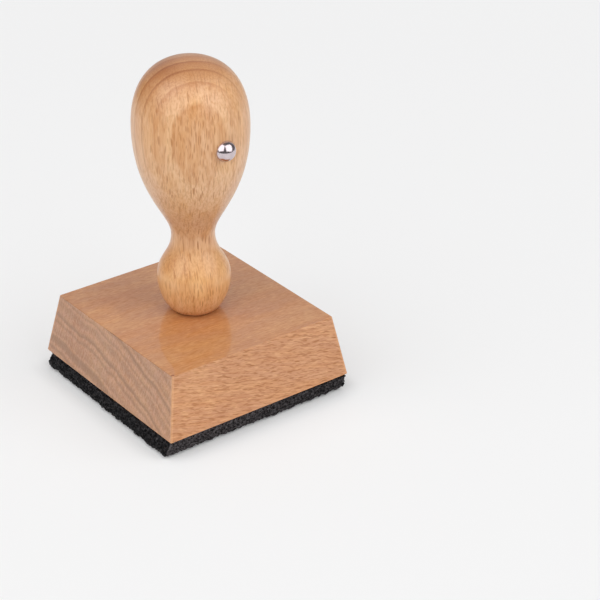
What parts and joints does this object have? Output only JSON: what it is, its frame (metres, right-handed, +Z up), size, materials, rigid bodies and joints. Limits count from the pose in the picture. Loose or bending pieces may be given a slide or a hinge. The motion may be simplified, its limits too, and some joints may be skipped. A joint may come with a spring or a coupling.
{
  "type": "hand stamp",
  "caption": "Wooden hand stamp: turned pear-shaped beech handle on a bevelled beech block, with a foam cushion and a square rubber printing die under it.",
  "frame": {"origin": "on the surface that the stamp stands on, under the handle's axis", "axes": "+Z up along the handle, the stamp's front with its marker nail towards -Y, +X to the right seen from the front"},
  "size_m": [0.0602, 0.0624, 0.0976],
  "materials": {
    "die_rubber": "laser-engraved black printing rubber, matt, with a raised pattern that has a slight sheen",
    "adhesive_film": "thin double-sided adhesive film",
    "sponge_rubber": "black sponge rubber with open pores on its hand-cut edges",
    "block_beech": "planed steamed beech with its grain from left to right, clear semi-gloss lacquer",
    "zinc_plated_steel": "zinc-plated steel wood screw",
    "handle_beech": "turned beech with its grain along the handle, clear satin lacquer",
    "nickel_plated_steel": "bright nickel-plated steel, polished"
  },
  "bodies": {
    "die": {"rubber_die": "die_rubber", "die_film": "adhesive_film", "foam_cushion": "sponge_rubber"},
    "mount": {"block_film": "adhesive_film", "mounting_block": "block_beech", "handle_screw": "zinc_plated_steel", "handle": "handle_beech", "front_nail": "nickel_plated_steel"}
  },
  "joints": [
    {"name": "cushion_press", "type": "slide", "parent": "die", "child": "mount", "axis": [0, 0, 1], "range_m": [-0.0012, 0], "stiffness_N_per_m": 15000, "deforming": ["foam_cushion"]}
  ]
}
